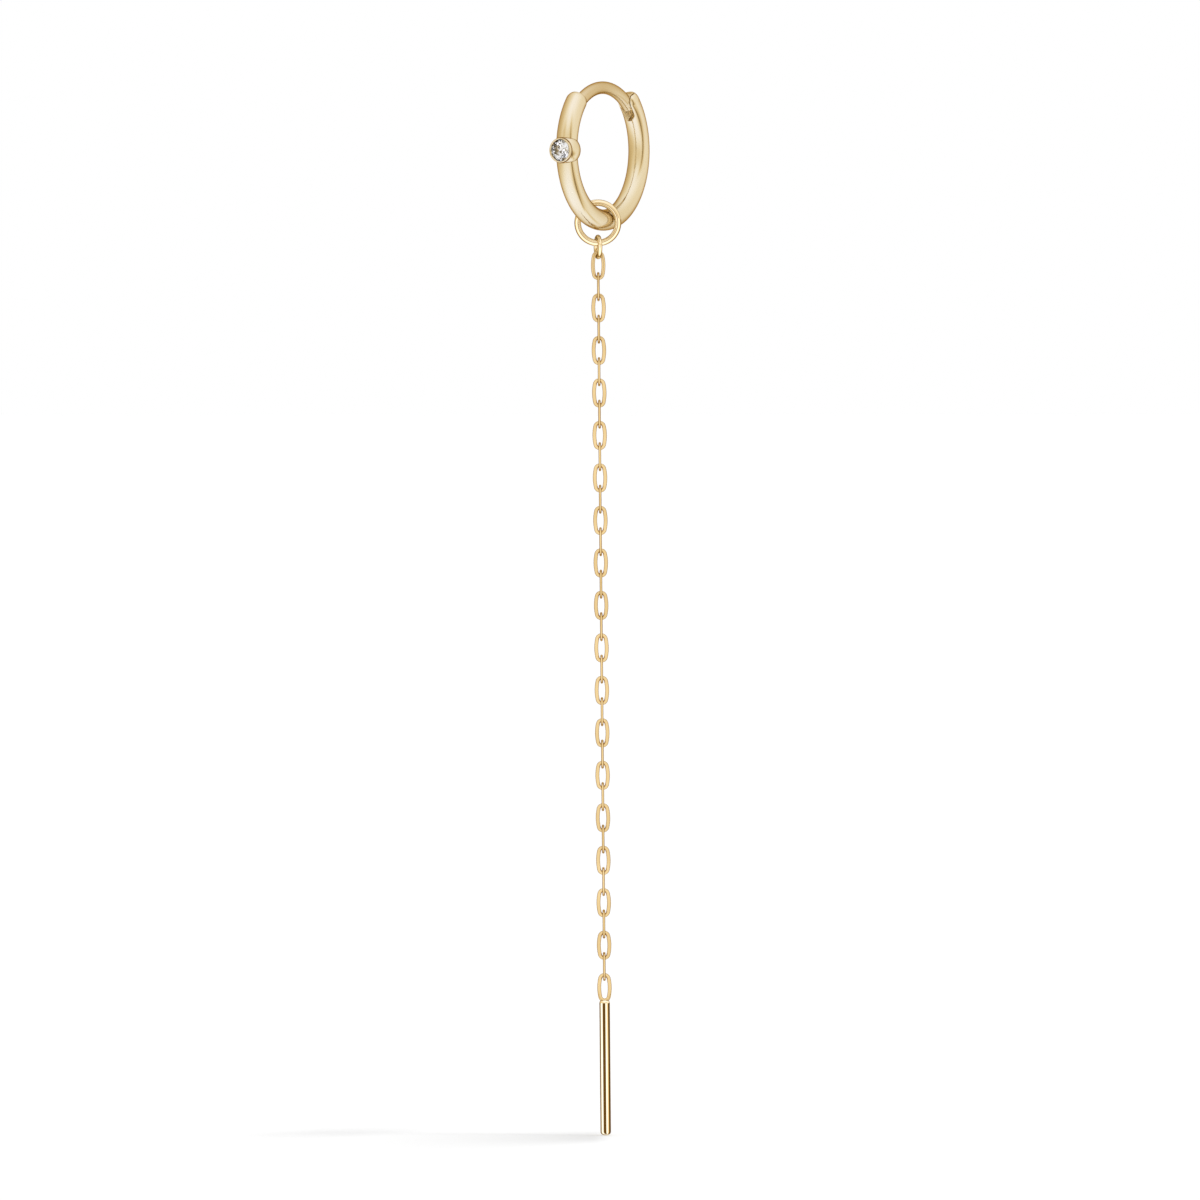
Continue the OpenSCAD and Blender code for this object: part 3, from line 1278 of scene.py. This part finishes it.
@dataclass
class ClearSleeve:
    """A clear skin over the hoop's lower half, through which it mirrors the room, not the tent."""

    lift: float = 0.015
    reach: float = math.radians(75)
    rings: int = 96
    sides: int = 48

    def build(self, hoop: Hoop) -> None:
        """Makes the sleeve.

        Args:
            hoop: the hoop that it covers.
        """
        r = hoop.tube_r + self.lift
        points = []
        for i in range(self.rings + 1):
            a = -math.pi / 2 + self.reach * (2 * i / self.rings - 1)
            for c, s in round_steps(self.sides):
                _, y, z = on_circle(HOOP_Z, hoop.ring_r + r * c, a)
                points.append((r * s, y, z))
        mesh = new_mesh("clear_sleeve", points, loop_faces(self.rings + 1, self.sides, False))
        material = bpy.data.materials.new("clear_skin")
        g = bare_graph(material)
        g.end(g.add("ShaderNodeBsdfTransparent"))
        stage_aid(mesh, material, Ray.CAMERA, Ray.DIFFUSE, Ray.SHADOW, Ray.TRANSMISSION)
        LOG.info("clear sleeve over the hoop's lower half")


@dataclass
class Floor:
    """The pale floor just under the bar's foot."""

    z: float = -72.29
    size: float = 6000.0
    colour: Triple = (0.9, 0.9, 0.9)

    def build(self) -> None:
        """Makes the floor."""
        h = self.size / 2
        corners = [(-h, -h, self.z), (h, -h, self.z), (h, h, self.z), (-h, h, self.z)]
        material, g, shader = new_material("pale_floor")
        feeds = {"Base Color": (*self.colour, 1.0), "Roughness": 1.0, "Specular IOR Level": 0.0}
        g.fill(shader, feeds)
        stage_aid(new_mesh("floor", corners, [(0, 1, 2, 3)]), material, Ray.GLOSSY)
        LOG.info("floor at %.2f mm", self.z)


@dataclass
class ShadowFlag:
    """A feathered card that holds the key light back, for the shadow beside the bar's foot."""

    lift: float = 1.0
    foot: float = -0.17
    margin: float = 2.0
    length: float = 23.5
    fade: float = 2.2
    behind: float = 8.0
    front: float = 13.0
    spread: float = 33.0
    density: float = 0.8
    foot_limits: tuple[float, float] = (-0.6, 1.0)
    back_limit: float = 2.0
    front_limit: float = 4.0

    def build(self, floor_z: float) -> None:
        """Makes the card.

        Args:
            floor_z: the floor's height.
        """
        right, left = self.foot + self.margin, self.foot - self.length
        far = self.front + self.spread
        rims = ((right, -self.behind), (right, far), (left, far), (left, -self.behind))
        corners = np.array(rims) @ np.array((TO_RIGHT, TO_VIEWER)) + (0, 0, floor_z + self.lift)
        mesh = new_mesh("shadow_flag", corners, [(0, 1, 2, 3)])
        stage_aid(mesh, self._feathered(), Ray.CAMERA, Ray.DIFFUSE, Ray.GLOSSY, Ray.TRANSMISSION)
        LOG.info("shadow flag: %.1f mm long", self.length)

    def _feathered(self) -> Material:
        """Builds the card's material, dense by the foot and clear at its rims.

        Returns:
            The Blender material.
        """
        material = bpy.data.materials.new("feathered_card")
        g = bare_graph(material)
        place = g.add("ShaderNodeTexCoord").outputs["Object"]
        left = g.math("ADD", g.reach(place, [-v / MM for v in TO_RIGHT]), self.foot)
        near = g.reach(place, [v / MM for v in TO_VIEWER])
        share = g.math("DIVIDE", left, self.length)
        thinning = g.math("POWER", g.math("MAXIMUM", g.rest(share), 0.0), self.fade)
        foot = g.step(left, *self.foot_limits)
        back = g.step(near, -self.behind, self.back_limit)
        rim = g.math("ADD", self.front, g.product(share, self.spread))
        front = g.rest(g.step(near, self.front_limit, rim))
        mask = g.product(thinning, foot, back, front, self.density)
        g.end_clear(mask, g.add("ShaderNodeBsdfDiffuse", {"Color": (0.0, 0.0, 0.0, 1.0)}))
        return material


@dataclass
class KeyLight:
    """The steep soft light that lays the shadow on the floor."""

    strength: float = 0.9
    spread: float = math.radians(7)
    lean: float = math.radians(17)
    heading: float = math.radians(70)

    def build(self) -> None:
        """Makes the light."""
        light = bpy.data.lights.new("key", "SUN")
        light.energy = self.strength
        light.angle = self.spread
        lamp = new_object("key", light)
        lamp.rotation_euler = (self.lean, 0.0, VIEW_TURN + self.heading)
        hide_from(lamp, Ray.GLOSSY, Ray.TRANSMISSION)
        LOG.info("key light of strength %.2f", self.strength)


@dataclass
class Camera:
    """The long lens at the photograph's angle."""

    distance: float = 1500.0
    pitch: float = math.radians(1.3)
    roll: float = math.radians(-0.5)
    side: float = -0.476
    height: float = -35.34
    span: float = 82.8
    sensor: float = 36.0
    clip_end: float = 20.0

    def build(self) -> None:
        """Makes the camera and hands it to the scene."""
        right, level = np.array(TO_RIGHT), np.array(TO_VIEWER)
        back = math.cos(self.pitch) * level + (0.0, 0.0, math.sin(self.pitch))
        up = np.cross(back, right)
        c, s = math.cos(self.roll), math.sin(self.roll)
        place = self.side * right + (0.0, 0.0, self.height) + self.distance * back
        data = bpy.data.cameras.new("camera")
        data.sensor_width = self.sensor
        data.sensor_fit = "HORIZONTAL"
        data.lens = self.sensor * self.distance / self.span
        data.clip_end = self.clip_end
        camera = new_object("camera", data)
        basis = np.eye(4)
        basis[:3] = np.column_stack((c * right + s * up, c * up - s * right, back, place * MM))
        camera.matrix_world = Matrix(basis.tolist())
        bpy.context.scene.camera = camera
        LOG.info("camera at %s mm", [round(float(v), 1) for v in place])


def main() -> None:
    """Builds the earring and its room."""
    logging.basicConfig(level=logging.INFO, format="%(name)s: %(message)s")
    bpy.context.scene.view_settings.view_transform = "Standard"
    hoop = Hoop()
    hoop.build()
    EarWire().build(hoop.pin())
    Brilliant().build()
    HiddenPin().build()
    Rings().build()
    chain = Chain()
    chain.build()
    Drop().build(chain)
    Room().build()
    BAR_TENT.build()
    CHAIN_TENT.build()
    ClearSleeve().build(hoop)
    floor = Floor()
    floor.build()
    ShadowFlag().build(floor.z)
    KeyLight().build()
    Camera().build()


if __name__ == "__main__":
    main()
